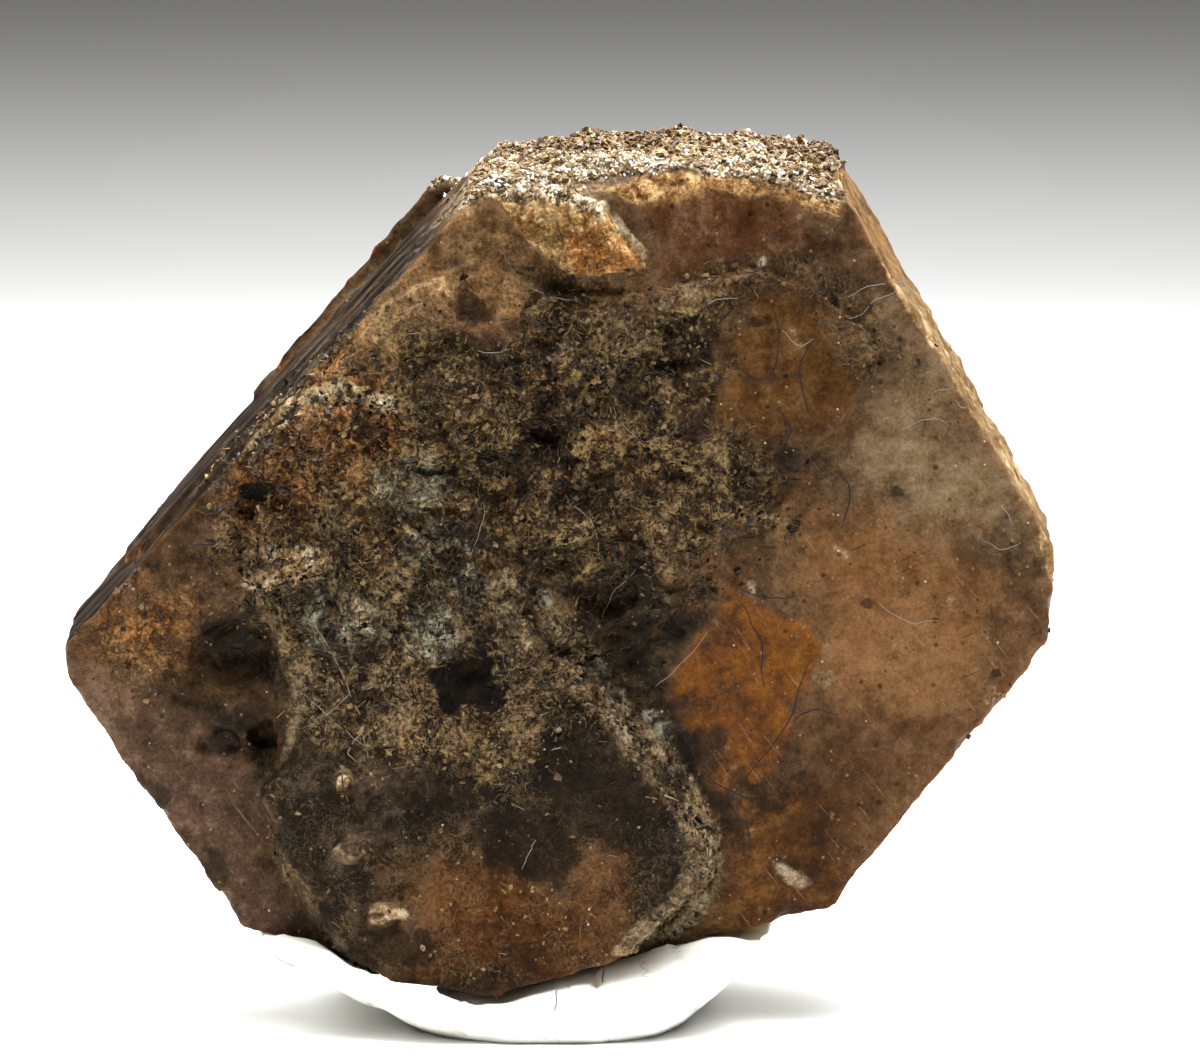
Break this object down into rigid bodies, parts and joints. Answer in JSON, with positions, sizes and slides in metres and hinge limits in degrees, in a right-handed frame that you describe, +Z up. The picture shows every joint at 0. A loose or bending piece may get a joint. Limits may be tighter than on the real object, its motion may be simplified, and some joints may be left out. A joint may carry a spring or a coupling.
{
  "type": "axinite crystal specimen",
  "caption": "Brown translucent axinite crystal of flat axe-shaped blades grown together, standing upright in a pressed lump of white putty.",
  "frame": {"origin": "middle of the bounding box's underside, on the surface that the putty rests on", "axes": "+Z up, +X to the right as the broad face is seen, -Y towards the viewer of the broad face, +Y through the crystal's thickness to its back"},
  "size_m": [0.0422, 0.0172, 0.038],
  "materials": {
    "axinite": "glassy, translucent brown with a rough crust",
    "white_putty": "soft matt, finger pressed"
  },
  "bodies": {
    "root": {"crystal": "axinite", "putty": "white_putty"}
  },
  "joints": []
}
